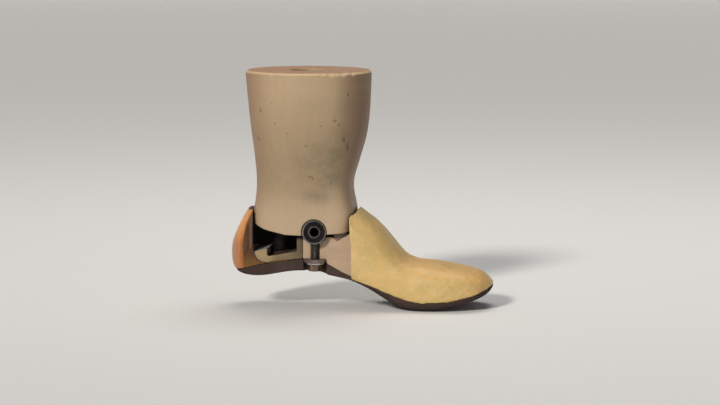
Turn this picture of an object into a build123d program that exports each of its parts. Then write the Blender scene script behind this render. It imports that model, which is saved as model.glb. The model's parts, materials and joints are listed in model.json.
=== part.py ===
from build123d import *
from math import copysign, cos, pi, radians, sin, tan
import os

# Right prosthetic foot with its ankle block, cut away on the outer side.
# Millimetres. +X to the toe, +Z up, -Y to the outer (cut-away) side.
# The origin is the centre of the shin bore on the ankle block's top face.

# Shin bore
BORE_R = 19.0
BORE_DEPTH = 110.0

# Ankle block, as level sections: height, rear X, front X, half width, front and rear squareness
BLOCK_SECTIONS = [
    (0.0, -63.7, 62.5, 57.0, 2.0, 2.0),
    (-11.0, -62.8, 62.3, 56.8, 2.0, 2.0),
    (-22.0, -61.8, 61.9, 56.5, 2.0, 2.0),
    (-44.0, -59.4, 60.5, 54.5, 2.1, 2.1),
    (-66.0, -56.8, 57.1, 50.5, 2.3, 2.2),
    (-86.0, -53.9, 51.3, 44.5, 2.6, 2.4),
    (-104.0, -52.1, 45.5, 38.0, 3.3, 2.8),
    (-119.0, -52.1, 43.5, 34.5, 4.4, 3.0),
    (-134.0, -54.0, 45.7, 33.2, 6.0, 3.1),
    (-150.0, -54.7, 46.4, 33.0, 6.5, 3.1),
    (-166.0, -54.3, 46.0, 33.0, 6.5, 3.1),
]
BLOCK_UNDERSIDE = [(-70, -150), (-56, -152), (-42, -157.8), (-20, -162.5), (0, -163.3),
                   (40, -160.3), (43, -158.6), (70, -158.6)]

# Flats carved on the block's lower front corners: a point on each, its turn and its lean in degrees
CORNER_AT = (43.9, 24.7, -160.0)
CORNER_TURN = 29.0
CORNER_LEAN = 7.0

# Ankle axle and what turns on it
AXLE_X = 9.3
AXLE_Z = -159.5
AXLE_R = 6.6
AXLE_BORE_R = 4.5
AXLE_HALF = 32.6
SLEEVE_R = 8.6
FIT_GAP = 0.03
RUNNING_GAP = 0.06
BOSS_R = 11.4
BOSS_HALF = 14.5
THRUST_T = 1.0
THRUST_R = 11.0
LOCK_PIN_R = 1.5
LOCK_PIN_TOP = -149.0
LOCK_PIN_END_GAP = 0.5
LOCK_PIN_RAISED = 0.8
THRUST_GAP = 0.05

# Side eyes and their studs
EYE_R = 12.0
EYE_WALL = 1.4
EYE_IN = BOSS_HALF + THRUST_T
EYE_OUT = 32.6
EYE_WEB = 2.0
BUSH_SET_BACK = 1.4
STUD_Y = 24.0
STUD_R = 4.0
STUD_ROOM = 0.3
STUD_END = -199.2
PAD_R = 11.0
PAD_T = 3.0
WASHER_R = 9.2
WASHER_T = 1.8
NUT_FLATS = 13.0
NUT_H = 6.8
RECESS_R = 11.4
RECESS_TOP = -187.3
EYE_RECESS_R = 12.9
EYE_SEAT_R = 12.25
EYE_SEAT_HALF = 33.4
WEB_ROOM = 1.0

# Cavity of the foot, where the block swings
CAVITY_REAR = -60.0
CAVITY_FRONT = 50.0
CAVITY_HALF = 34.5
CAVITY_SQUARE_FRONT = 6.0
CAVITY_SQUARE_REAR = 3.1
WALL_FRONT = 45.5
KEEL_SPLIT_X = -3.0

# Top of the keel from the heel forward: ledge, bumper pocket, and the seat under the block
LEDGE_LINE = [(-90, -190.3), (-39.2, -177.4)]
POCKET_LINE = [(-39.2, -185.4), (-9.4, -179.9)]
SEAT_LINE = [(-9.4, -166.0), (28.0, -165.0), (31.2, -169.0), (40.3, -163.2), (42.0, -162.0), (50.0, -161.7)]
REAR_KEEL_TOP = -160.0
REAR_KEEL_BASE = [(-62, -177.6), (-53.8, -178.6), (-51.9, -181.4), (-51.2, -184.8), (-49.0, -188.5),
                  (-45.2, -190.9), (-41.0, -191.6), (-31.0, -190.2), (KEEL_SPLIT_X, -186.9)]

# Bumpers
BUMPER_X = -28.9
BUMPER_R = 8.0
BUMPER_TOP = -159.9
SEAT_T = 1.6
SEAT_R = 8.8
SOCKET_R = 9.0
SOFT_GAP = 0.3
WEDGE = [(28.4, -161.8), (40.4, -160.7), (40.4, -162.9), (31.3, -168.7), (28.4, -165.2)]
WEDGE_Y = (-24.0, 31.5)

# Outside of the foot, as upright sections: X, top, bottom, half width, shift to the inner side.
# The tops behind X = 50 stand above the rim, which cuts them off.
FOOT_SECTIONS = [
    (-78.2, -178.0, -187.0, 5.0, 0.0),
    (-76.2, -169.0, -194.6, 10.8, 0.0),
    (-70.0, -155.0, -201.9, 19.8, 0.0),
    (-60.0, -137.5, -204.8, 27.4, 0.0),
    (-42.0, -117.0, -204.3, 36.4, 0.0),
    (-5.0, -109.0, -199.0, 39.2, 0.0),
    (26.0, -119.0, -203.8, 39.0, 0.0),
    (50.0, -137.2, -209.8, 39.0, 0.5),
    (64.0, -147.6, -216.4, 39.0, 1.2),
    (80.0, -164.3, -226.2, 39.8, 2.2),
    (98.0, -184.9, -234.0, 42.0, 3.5),
    (124.0, -190.9, -236.5, 45.0, 5.0),
    (150.0, -195.4, -232.2, 43.5, 6.0),
    (168.0, -199.8, -226.8, 37.0, 7.0),
    (178.4, -206.0, -222.0, 26.0, 8.0),
    (183.3, -210.6, -217.4, 13.0, 8.5),
]
SECTION_POINTS = 20
PLAN_POINTS = 24
UPPER_SQUARE = 2.6
LOWER_SQUARE = 7.0
COVER_T = 2.6
RIM_Z = -138.0
RIM_FRONT = 60.0
SOLE_TOP = [(-90, -203.0), (-62, -197.4), (-44, -193.0), (-26, -190.7), (KEEL_SPLIT_X, -187.2),
            (11, -187.4), (21, -191.8), (35, -199.6), (51, -206.9), (71, -214.0), (90, -221.3),
            (104, -225.8), (118, -227.9), (144, -226.2), (168, -220.7), (180, -216.0), (190, -210.0)]

# Limits well outside the foot, for cutting
BEHIND_ALL = -100.0
BELOW_ALL = -250.0
ABOVE_FOOT = -90.0
AHEAD_OF_ALL = 260.0
WIDE = 80.0

# Cut-away: everything of the foot on the outer side of this plane, up to this XZ line
CUT_Y = -24.0
CUT_FRONT_LINE = [(47.0, BELOW_ALL), (47.0, -172.0), (45.8, -162.0), (43.6, -137.0), (43.6, ABOVE_FOOT)]

# Toe break
TOE_X = 104.0
TOE_Z = -225.8
TOE_WEDGE_DEG = 14.0
TOE_GAP = 0.3
TOE_HINGE_SKIN = 3.0
TOE_RISE = 60.0


def round_outline(half_x, half_y, power_front, power_rear):
    """Closed smooth outline of a rounded rectangle: the powers set how square its halves are."""
    dots = []
    for step in range(PLAN_POINTS):
        angle = 2 * pi * step / PLAN_POINTS
        c, s = cos(angle), sin(angle)
        power = power_front if c >= 0 else power_rear
        reach = (abs(c) ** power + abs(s) ** power) ** (-1 / power)
        dots.append((c * reach * half_x, s * reach * half_y))
    return dots


def smooth_face(plane, dots):
    """Face inside a closed spline through the dots on the plane."""
    with BuildSketch(plane) as sketch:
        with BuildLine():
            Spline(*dots, periodic=True)
        make_face()
    return sketch.sketch


def side_prism(outline, y_low, y_high):
    """Solid of an XZ outline between two Y planes."""
    with BuildSketch(Plane.XZ) as sketch:
        with BuildLine():
            Polyline(*outline, close=True)
        make_face()
    solid = extrude(sketch.sketch, amount=y_high - y_low)
    return Pos(0, y_high, 0) * solid


def span_box(x_span, y_span, z_span):
    """Box between three pairs of planes."""
    size = [span[1] - span[0] for span in (x_span, y_span, z_span)]
    middle = [(span[1] + span[0]) / 2 for span in (x_span, y_span, z_span)]
    return Pos(*middle) * Box(*size)


def cross_cylinder(radius, y_low, y_high, x=AXLE_X, z=AXLE_Z):
    """Cylinder along Y, on the ankle axle unless told otherwise."""
    return Pos(x, (y_low + y_high) / 2, z) * Rot(90, 0, 0) * Cylinder(radius, y_high - y_low)


def post(radius, x, y, z_low, z_high):
    """Upright cylinder."""
    return Pos(x, y, (z_low + z_high) / 2) * Cylinder(radius, z_high - z_low)


# ---------------------------------------------------------------- foot forms

def foot_form(inset):
    """Outside of the foot, drawn in by inset all round."""
    rear, front = FOOT_SECTIONS[0][0], FOOT_SECTIONS[-1][0]
    middle = (rear + front) / 2
    shrink = (front - rear - 2 * inset) / (front - rear)
    faces = []
    for x, top, bottom, half, shift in FOOT_SECTIONS:
        high = (top - bottom) / 2 - inset
        centre_z = (top + bottom) / 2
        dots = []
        for c, s in round_section():
            dots.append((shift + c * (half - inset), centre_z + s * high))
        faces.append(smooth_face(Plane.YZ.offset(middle + (x - middle) * shrink), dots))
    return loft(faces)


def round_section():
    """Unit outline of an upright foot section: rounded above, squarer on the sole."""
    for step in range(SECTION_POINTS):
        angle = 2 * pi * step / SECTION_POINTS
        c, s = cos(angle), sin(angle)
        power = UPPER_SQUARE if s >= 0 else LOWER_SQUARE
        yield copysign(abs(c) ** (2 / power), c), copysign(abs(s) ** (2 / power), s)


def below_line(line):
    """Everything under an XZ line."""
    outline = list(line) + [(line[-1][0], BELOW_ALL), (line[0][0], BELOW_ALL)]
    return side_prism(outline, -WIDE, WIDE)


def slab_on(line, low, high):
    """Layer between two heights above an XZ line."""
    under = [(x, z + low) for x, z in line]
    over = [(x, z + high) for x, z in reversed(line)]
    return side_prism(under + over, -WIDE, WIDE)


def cavity_column(z_high):
    """Upright column with the plan of the ankle cavity."""
    half_x = (CAVITY_FRONT - CAVITY_REAR) / 2
    centre = (CAVITY_FRONT + CAVITY_REAR) / 2
    dots = round_outline(half_x, CAVITY_HALF, CAVITY_SQUARE_FRONT, CAVITY_SQUARE_REAR)
    face = smooth_face(Plane.XY.offset(BELOW_ALL), [(x + centre, y) for x, y in dots])
    return extrude(face, amount=z_high - BELOW_ALL)


def behind(x):
    """Everything of the foot to the rear of X."""
    return span_box((BEHIND_ALL, x), (-WIDE, WIDE), (BELOW_ALL, ABOVE_FOOT))


OUTER = foot_form(0)
INNER = foot_form(COVER_T)
KEEL_TOP = LEDGE_LINE + POCKET_LINE + SEAT_LINE
UNDER_KEEL = below_line(SOLE_TOP)
ABOVE_RIM = span_box((BEHIND_ALL, RIM_FRONT), (-WIDE, WIDE), (RIM_Z, ABOVE_FOOT))
CUT_AWAY = side_prism(CUT_FRONT_LINE + [(BEHIND_ALL, ABOVE_FOOT), (BEHIND_ALL, BELOW_ALL)], -WIDE, CUT_Y)
BEHIND_SPLIT = behind(KEEL_SPLIT_X)
TOE_REAR_X = TOE_X + TOE_GAP / 2
FOOT_FRONT_X = TOE_X - TOE_GAP / 2
TOE_TOP_Z = TOE_Z + TOE_RISE
TOE_TOP_X = TOE_REAR_X + TOE_RISE * tan(radians(TOE_WEDGE_DEG))
TOE_SIDE = side_prism([(TOE_REAR_X, BELOW_ALL), (TOE_REAR_X, TOE_Z), (TOE_TOP_X, TOE_TOP_Z),
                       (AHEAD_OF_ALL, TOE_TOP_Z), (AHEAD_OF_ALL, BELOW_ALL)], -WIDE, WIDE)
FOOT_SIDE = behind(FOOT_FRONT_X)
SWING_ROOM = side_prism(KEEL_TOP + [(CAVITY_FRONT, ABOVE_FOOT), (KEEL_TOP[0][0], ABOVE_FOOT)], -WIDE, WIDE)
WALLED_ROOM = SWING_ROOM & behind(WALL_FRONT)
CAVITY = cavity_column(ABOVE_FOOT) & SWING_ROOM
STUDS = (-STUD_Y, STUD_Y)


def nut_room():
    """Recesses for the pads, washers and nuts, open at the sole."""
    return [post(RECESS_R, AXLE_X, y, BELOW_ALL, RECESS_TOP) for y in STUDS]


# ---------------------------------------------------------------- shank side

def ankle_block():
    faces = []
    for z, rear, front, half, front_square, rear_square in BLOCK_SECTIONS:
        dots = round_outline((front - rear) / 2, half, front_square, rear_square)
        centre = (front + rear) / 2
        faces.append(smooth_face(Plane.XY.offset(z), [(x + centre, y) for x, y in dots]))
    block = loft(faces)
    block -= below_line(BLOCK_UNDERSIDE)
    for side in (-1, 1):
        block -= corner_cut(side)
    block += cross_cylinder(BOSS_R, -BOSS_HALF, BOSS_HALF)
    block -= post(BORE_R, 0, 0, -BORE_DEPTH, BORE_R)
    for side in (-1, 1):
        low, high = sorted((side * BOSS_HALF, side * WIDE))
        block -= cross_cylinder(EYE_RECESS_R, low, high)
    block -= cross_cylinder(SLEEVE_R + FIT_GAP, -WIDE, WIDE)
    block -= post(SOCKET_R, BUMPER_X, 0, BELOW_ALL, BUMPER_TOP + SOFT_GAP)
    return block - lock_pin_hole()


def corner_cut(side):
    """What is carved off one lower front corner of the block."""
    x, y, z = CORNER_AT
    size = 2 * CORNER_AT[0]
    turned = Rot(0, 0, side * CORNER_TURN) * Rot(0, CORNER_LEAN, 0)
    return Pos(x, side * y, z) * turned * Pos(size / 2, 0, 0) * Box(size, size, size)


def lock_pin_hole():
    return post(LOCK_PIN_R + FIT_GAP, AXLE_X, 0, BELOW_ALL, LOCK_PIN_TOP)


def axle_sleeve():
    sleeve = cross_cylinder(SLEEVE_R, -BOSS_HALF, BOSS_HALF)
    sleeve -= cross_cylinder(AXLE_R + FIT_GAP, -WIDE, WIDE)
    return sleeve - lock_pin_hole()


def ankle_axle():
    axle = cross_cylinder(AXLE_R, -AXLE_HALF + BUSH_SET_BACK, AXLE_HALF - BUSH_SET_BACK)
    axle -= cross_cylinder(AXLE_BORE_R, -WIDE, WIDE)
    return axle - lock_pin_hole()


def lock_pin():
    return post(LOCK_PIN_R, AXLE_X, 0, AXLE_Z - BOSS_R + LOCK_PIN_RAISED, LOCK_PIN_TOP - LOCK_PIN_END_GAP)


def thrust_washer(side):
    low, high = sorted((side * BOSS_HALF, side * (EYE_IN - THRUST_GAP)))
    washer = cross_cylinder(THRUST_R, low, high)
    return washer - cross_cylinder(AXLE_R + RUNNING_GAP, -WIDE, WIDE)


# ---------------------------------------------------------------- foot side

def eye_bolt(side):
    """Steel cup on a threaded stud. The cup's inner side has a web that holds the bush."""
    low, high = sorted((side * EYE_IN, side * EYE_OUT))
    bolt = cross_cylinder(EYE_R, low, high)
    bolt += post(STUD_R, AXLE_X, side * STUD_Y, STUD_END, AXLE_Z - EYE_R + EYE_WALL / 2)
    low, high = sorted((side * (EYE_IN + EYE_WEB), side * WIDE))
    bolt -= cross_cylinder(EYE_R - EYE_WALL, low, high)
    return bolt - cross_cylinder(AXLE_R + WEB_ROOM, -WIDE, WIDE)


def eye_bush(side):
    low, high = sorted((side * (EYE_IN + EYE_WEB), side * (EYE_OUT - BUSH_SET_BACK)))
    bush = cross_cylinder(EYE_R - EYE_WALL - FIT_GAP, low, high)
    return bush - cross_cylinder(AXLE_R + RUNNING_GAP, -WIDE, WIDE)


def stud_hole(y, room=FIT_GAP):
    return post(STUD_R + room, AXLE_X, y, BELOW_ALL, AXLE_Z)


def stud_pad(side):
    """Leather pad between the keel and the steel washer."""
    pad = post(PAD_R, AXLE_X, side * STUD_Y, RECESS_TOP - PAD_T, RECESS_TOP)
    return pad - stud_hole(side * STUD_Y)


def stud_washer(side):
    top = RECESS_TOP - PAD_T
    washer = post(WASHER_R, AXLE_X, side * STUD_Y, top - WASHER_T, top)
    return washer - stud_hole(side * STUD_Y)


def stud_nut(side):
    top = RECESS_TOP - PAD_T - WASHER_T
    with BuildSketch(Plane.XY.offset(top - NUT_H)) as hexagon:
        RegularPolygon(NUT_FLATS / 2, 6, major_radius=False)
    nut = Pos(AXLE_X, side * STUD_Y, 0) * extrude(hexagon.sketch, amount=NUT_H)
    return nut - stud_hole(side * STUD_Y)


def keel_rear():
    room = below_line(KEEL_TOP) - below_line(REAR_KEEL_BASE)
    keel = cavity_column(REAR_KEEL_TOP) & (room & BEHIND_SPLIT)
    return keel - CUT_AWAY


def keel_front():
    keel = (INNER - UNDER_KEEL - ABOVE_RIM - WALLED_ROOM - CAVITY - BEHIND_SPLIT) & FOOT_SIDE
    keel -= CUT_AWAY
    keel -= cross_cylinder(EYE_SEAT_R, -EYE_SEAT_HALF, EYE_SEAT_HALF)
    for hole in nut_room() + [stud_hole(y, STUD_ROOM) for y in STUDS]:
        keel -= hole
    return keel


def heel_cover():
    cover = (OUTER - UNDER_KEEL - ABOVE_RIM) & BEHIND_SPLIT
    hollow = cavity_column(ABOVE_FOOT) - below_line(REAR_KEEL_BASE)
    cover -= hollow
    cover -= CUT_AWAY
    for hole in nut_room():
        cover -= hole
    return cover


def instep_cover():
    cover = (OUTER - UNDER_KEEL - ABOVE_RIM - BEHIND_SPLIT) & FOOT_SIDE
    cover -= INNER - WALLED_ROOM
    cover -= CAVITY
    for hole in nut_room():
        cover -= hole
    return cover - CUT_AWAY


def sole():
    pad = (OUTER & UNDER_KEEL) & FOOT_SIDE
    pad -= CUT_AWAY
    for hole in nut_room():
        pad -= hole
    return pad


def heel_bumper():
    """Rubber post on its seat. The seat slopes with the keel."""
    return post(BUMPER_R, BUMPER_X, 0, BELOW_ALL, BUMPER_TOP) & slab_on(POCKET_LINE, SEAT_T, WIDE)


def bumper_seat():
    return post(SEAT_R, BUMPER_X, 0, BELOW_ALL, BUMPER_TOP) & slab_on(POCKET_LINE, 0, SEAT_T)


def front_bumper():
    return side_prism(WEDGE, *WEDGE_Y)


# ---------------------------------------------------------------- toe

def toe_filler():
    return (INNER & TOE_SIDE) - UNDER_KEEL


def toe_cover():
    return (OUTER - INNER - UNDER_KEEL) & TOE_SIDE


def toe_sole():
    return (OUTER & UNDER_KEEL) & TOE_SIDE


def toe_wedge():
    """Felt that fills the open angle at the toe break, out to the cover's surface."""
    outline = [(TOE_X, TOE_Z + TOE_HINGE_SKIN), (FOOT_FRONT_X + TOE_GAP, TOE_TOP_Z),
               (TOE_TOP_X - TOE_GAP, TOE_TOP_Z)]
    return OUTER & side_prism(outline, -WIDE, WIDE)


NODES = {
    "ankle_block": ankle_block(),
    "axle_sleeve": axle_sleeve(),
    "ankle_axle": ankle_axle(),
    "axle_lock_pin": lock_pin(),
    "keel_rear": keel_rear(),
    "keel_front": keel_front(),
    "heel_cover": heel_cover(),
    "instep_cover": instep_cover(),
    "sole": sole(),
    "heel_bumper": heel_bumper(),
    "bumper_seat": bumper_seat(),
    "front_bumper": front_bumper(),
    "toe_filler": toe_filler(),
    "toe_wedge": toe_wedge(),
    "toe_cover": toe_cover(),
    "toe_sole": toe_sole(),
}
for side, name in ((-1, "outer"), (1, "inner")):
    NODES["eye_bolt_" + name] = eye_bolt(side)
    NODES["eye_bush_" + name] = eye_bush(side)
    NODES["stud_pad_" + name] = stud_pad(side)
    NODES["stud_washer_" + name] = stud_washer(side)
    NODES["stud_nut_" + name] = stud_nut(side)
    NODES["thrust_washer_" + name] = thrust_washer(side)

os.makedirs("parts", exist_ok=True)
for name, shape in NODES.items():
    export_step(shape, f"parts/{name}.step")
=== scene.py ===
import json
from math import cos, pi, radians, sin

import bmesh
import bpy
import numpy as np
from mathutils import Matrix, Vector, noise


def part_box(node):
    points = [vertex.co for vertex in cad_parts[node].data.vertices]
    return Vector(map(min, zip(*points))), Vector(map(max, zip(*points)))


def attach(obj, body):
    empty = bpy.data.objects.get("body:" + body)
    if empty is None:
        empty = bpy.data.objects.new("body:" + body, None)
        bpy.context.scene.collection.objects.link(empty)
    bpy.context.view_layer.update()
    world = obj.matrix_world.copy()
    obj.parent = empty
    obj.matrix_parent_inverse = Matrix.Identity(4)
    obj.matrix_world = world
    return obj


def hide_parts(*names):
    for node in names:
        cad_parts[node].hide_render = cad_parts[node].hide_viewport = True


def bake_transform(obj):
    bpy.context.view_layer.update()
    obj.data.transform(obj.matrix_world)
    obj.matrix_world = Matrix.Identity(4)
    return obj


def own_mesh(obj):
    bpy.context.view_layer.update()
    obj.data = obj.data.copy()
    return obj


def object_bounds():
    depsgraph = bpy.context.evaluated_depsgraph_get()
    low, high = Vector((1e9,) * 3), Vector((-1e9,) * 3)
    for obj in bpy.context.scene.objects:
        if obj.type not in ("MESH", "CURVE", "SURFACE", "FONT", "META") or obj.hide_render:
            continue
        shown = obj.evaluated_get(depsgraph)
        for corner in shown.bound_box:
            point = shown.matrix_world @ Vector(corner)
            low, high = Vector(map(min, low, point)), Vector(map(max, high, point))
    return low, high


# Right prosthetic foot with its ankle block, cut away on the outer (-Y) side. Toe toward +X. Metres.
MM = 0.001

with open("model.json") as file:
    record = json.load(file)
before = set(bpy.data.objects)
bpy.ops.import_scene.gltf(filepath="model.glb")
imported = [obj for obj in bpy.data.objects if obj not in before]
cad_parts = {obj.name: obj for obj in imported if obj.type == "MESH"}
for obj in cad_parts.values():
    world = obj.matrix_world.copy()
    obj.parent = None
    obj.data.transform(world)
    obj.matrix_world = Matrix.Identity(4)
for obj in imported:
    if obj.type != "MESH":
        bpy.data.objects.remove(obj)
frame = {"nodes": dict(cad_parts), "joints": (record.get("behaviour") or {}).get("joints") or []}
cad_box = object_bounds()
joints = {joint["name"]: joint for joint in frame["joints"]}
AXLE = Vector(joints["ankle_hinge"]["pos_m"])
# The cut-away's side plane, and its front edge at the sole
CUT_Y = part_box("keel_rear")[0].y
CUT_FRONT = 47 * MM
RIM_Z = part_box("heel_cover")[1].z
FLOOR_Z = cad_box[0].z
# Factor on the size of the skins' cells
FINE = 1.0
# Broken corners of turned parts, and the gap between parts that fit
EDGE = 0.5 * MM
FIT = 0.03 * MM
# Stud, axle, cup of the eye bolt, and seat of the heel bumper
STUD_R = 4.0 * MM
STUD_PITCH = 1.25 * MM
AXLE_BORE_R = 4.5 * MM
CUP_HOLE_R = 7.6 * MM
CUP_WEB = 2.0 * MM
CUP_BEVEL = 1.2 * MM
SEAT_T = 1.6 * MM


# ------------------------------------------------------------------ mesh help

def in_scene(name, data):
    """A new object in the scene's own collection."""
    thing = bpy.data.objects.new(name, data)
    bpy.context.scene.collection.objects.link(thing)
    return thing


def new_piece(name, shape):
    """Object from a bmesh, shaded smooth."""
    mesh = bpy.data.meshes.new(name)
    shape.to_mesh(mesh)
    shape.free()
    mesh.shade_smooth()
    return in_scene(name, mesh)


def apply_modifiers(piece):
    """Makes the modified mesh the piece's own."""
    graph = bpy.context.evaluated_depsgraph_get()
    mesh = bpy.data.meshes.new_from_object(piece.evaluated_get(graph))
    piece.modifiers.clear()
    piece.data = mesh
    mesh.name = piece.name
    mesh.shade_smooth()


def softened(name, nodes, voxel, rounds):
    """One closed skin over copies of the nodes, its edges rounded by handling."""
    shape = bmesh.new()
    for node in nodes:
        shape.from_mesh(frame["nodes"][node].data)
    piece = new_piece(name, shape)
    remesh = piece.modifiers.new("skin", "REMESH")
    remesh.mode = "VOXEL"
    remesh.voxel_size = voxel * FINE
    smooth = piece.modifiers.new("soften", "SMOOTH")
    smooth.factor = 0.5
    smooth.iterations = rounds
    apply_modifiers(piece)
    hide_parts(*nodes)
    return piece


def vectors(items, field):
    """The same field of each item, one row of three numbers for each."""
    flat = np.empty(len(items) * 3)
    items.foreach_get(field, flat)
    return flat.reshape(-1, 3)


def points_of(piece):
    return vectors(piece.data.vertices, "co")


def normals_of(piece):
    return vectors(piece.data.vertex_normals, "vector")


def radius_of(node):
    """Half the node's width in X."""
    low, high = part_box(node)
    return (high.x - low.x) / 2


def set_points(piece, points):
    piece.data.vertices.foreach_set("co", points.ravel())
    piece.data.update()


def paint_points(piece, name, values):
    """Keeps one number per point for the materials to read."""
    attribute = piece.data.attributes.new(name, "FLOAT", "POINT")
    attribute.data.foreach_set("value", np.asarray(values, np.float32))


def noise_at(points, per_metre, seed=0.0):
    """Smooth noise from -1 to 1 at each point."""
    shift = Vector((seed, seed * 1.7, -seed))
    return np.array([noise.noise(Vector(p) * per_metre + shift) for p in points])


def smoothstep(low, high, values):
    """Eases from 0 at low to 1 at high."""
    t = np.clip((values - low) / (high - low), 0, 1)
    return t * t * (3 - 2 * t)


def band(shape, here, there):
    """Faces between two rings of equally many points."""
    for step in range(len(here)):
        after = (step + 1) % len(here)
        shape.faces.new((here[step], here[after], there[after], there[step]))


def turned(name, outline, axis, centre, turns=72):
    """Turns a closed outline of (radius, distance along the axis) points about the axis."""
    shape = bmesh.new()
    along = Vector(axis).normalized()
    across = along.orthogonal().normalized()
    third = along.cross(across)
    rings = []
    for step in range(turns):
        angle = 2 * pi * step / turns
        out = across * cos(angle) + third * sin(angle)
        rings.append([shape.verts.new(Vector(centre) + out * r + along * a) for r, a in outline])
    for step in range(turns):
        band(shape, rings[step], rings[(step + 1) % turns])
    bmesh.ops.remove_doubles(shape, verts=shape.verts, dist=1e-7)
    bmesh.ops.recalc_face_normals(shape, faces=shape.faces)
    piece = new_piece(name, shape)
    piece.data.set_sharp_from_angle(angle=radians(35))
    return piece


def ring_outline(inner, outer, low, high, edge):
    """Outline of a ring with its corners broken by edge."""
    return [(inner + edge, low), (outer - edge, low), (outer, low + edge), (outer, high - edge),
            (outer - edge, high), (inner + edge, high), (inner, high - edge), (inner, low + edge)]


# ------------------------------------------------------------------ materials

class Paint:
    """One node material, built in the piece's own space."""

    def __init__(self, name):
        self.material = bpy.data.materials.new(name)
        self.material.use_nodes = True
        self.nodes = self.material.node_tree.nodes
        self.links = self.material.node_tree.links
        self.shader = self.nodes["Principled BSDF"]
        self.place = self.nodes.new("ShaderNodeTexCoord").outputs["Object"]

    def feed(self, source, socket):
        """Links a socket, or sets a number or colour."""
        if isinstance(source, bpy.types.NodeSocket):
            self.links.new(source, socket)
        elif isinstance(source, tuple) and len(source) == 3 and len(socket.default_value) == 4:
            socket.default_value = (*source, 1.0)
        else:
            socket.default_value = source

    def stretched(self, per_metre):
        """Place in the piece, scaled along each axis."""
        node = self.nodes.new("ShaderNodeVectorMath")
        node.operation = "MULTIPLY"
        self.links.new(self.place, node.inputs[0])
        node.inputs[1].default_value = per_metre
        return node.outputs[0]

    def noise(self, per_metre, detail=4.0, rough=0.55, twist=0.0):
        node = self.nodes.new("ShaderNodeTexNoise")
        self.links.new(self.stretched(per_metre), node.inputs["Vector"])
        node.inputs["Scale"].default_value = 1.0
        node.inputs["Detail"].default_value = detail
        node.inputs["Roughness"].default_value = rough
        node.inputs["Distortion"].default_value = twist
        return node.outputs[0]

    def rings(self, per_metre, twist):
        """Bands along X, bent like growth rings."""
        node = self.nodes.new("ShaderNodeTexWave")
        node.wave_profile = "SAW"
        self.links.new(self.stretched(per_metre), node.inputs["Vector"])
        node.inputs["Scale"].default_value = 1.0
        node.inputs["Distortion"].default_value = twist
        node.inputs["Detail"].default_value = 2.0
        return node.outputs["Fac"]

    def cells(self, per_metre):
        """Distance to the nearest of many scattered points."""
        node = self.nodes.new("ShaderNodeTexVoronoi")
        self.links.new(self.stretched(per_metre), node.inputs["Vector"])
        node.inputs["Scale"].default_value = 1.0
        return node.outputs["Distance"]

    def painted(self, name):
        """The number that paint_points has kept under this name."""
        node = self.nodes.new("ShaderNodeAttribute")
        node.attribute_name = name
        return node.outputs["Fac"]

    def part(self, axis):
        """Place in the piece along one axis."""
        node = self.nodes.new("ShaderNodeSeparateXYZ")
        self.links.new(self.place, node.inputs[0])
        return node.outputs[axis]

    def spread(self, value, low, high, to_low=0.0, to_high=1.0):
        """Eases from to_low to to_high as the value goes from low to high."""
        node = self.nodes.new("ShaderNodeMapRange")
        node.interpolation_type = "SMOOTHSTEP"
        self.links.new(value, node.inputs["Value"])
        node.inputs["From Min"].default_value = low
        node.inputs["From Max"].default_value = high
        node.inputs["To Min"].default_value = to_low
        node.inputs["To Max"].default_value = to_high
        return node.outputs[0]

    def zone(self, axis, reach, to_low=0.0, to_high=1.0):
        """As spread, along one axis of the piece."""
        return self.spread(self.part(axis), reach[0], reach[1], to_low, to_high)

    def calc(self, operation, a, b=0.0):
        node = self.nodes.new("ShaderNodeMath")
        node.operation = operation
        self.feed(a, node.inputs[0])
        self.feed(b, node.inputs[1])
        return node.outputs[0]

    def mix(self, share, a, b):
        """Colour a where the share is 0, colour b where it is 1."""
        node = self.nodes.new("ShaderNodeMix")
        node.data_type = "RGBA"
        self.feed(share, node.inputs[0])
        self.feed(a, node.inputs[6])
        self.feed(b, node.inputs[7])
        return node.outputs[2]

    def bump(self, height, depth, under=None):
        """Relief as deep as depth, on top of the relief under it."""
        node = self.nodes.new("ShaderNodeBump")
        node.inputs["Distance"].default_value = depth
        self.links.new(height, node.inputs["Height"])
        if under is not None:
            self.links.new(under, node.inputs["Normal"])
        return node.outputs[0]

    def done(self, colour, rough, normal, **constants):
        """Sets the shader up. The constants are named as its sockets, with _ for a space."""
        self.feed(colour, self.shader.inputs["Base Color"])
        self.feed(rough, self.shader.inputs["Roughness"])
        self.links.new(normal, self.shader.inputs["Normal"])
        for socket, value in constants.items():
            self.shader.inputs[socket.replace("_", " ")].default_value = value
        return self.material


def wood(name, light, dark, warm, grain=(260, 260, 9), ring_step=90, rough=0.5, contrast=0.5):
    """Sanded wood with its grain along Z, as on the block, or along X where grain says so."""
    paint = Paint(name)
    fibres = paint.noise(tuple(v * 3.2 for v in grain), detail=6, rough=0.7)
    streaks = paint.noise(grain, detail=5, rough=0.6, twist=0.4)
    bands = paint.rings((ring_step, ring_step * 0.35, grain[2] * 0.25), twist=5.0)
    clouds = paint.noise((14, 14, 8), detail=3)
    colour = paint.mix(paint.spread(streaks, 0.30, 0.72, 1 - contrast, 1.0), dark, light)
    colour = paint.mix(paint.spread(bands, 0.2, 1.0, 0.0, 0.25 * contrast), colour, dark)
    colour = paint.mix(paint.spread(clouds, 0.35, 0.75, 0.0, 0.45), colour, warm)
    colour = paint.mix(paint.spread(fibres, 0.50, 0.78, 0.0, 0.5 * contrast), colour, dark)
    height = paint.calc("ADD", fibres, paint.calc("MULTIPLY", streaks, 0.5))
    roughness = paint.spread(fibres, 0.3, 0.7, rough - 0.07, rough + 0.08)
    return paint, colour, paint.bump(height, 0.16 * MM), roughness
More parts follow.
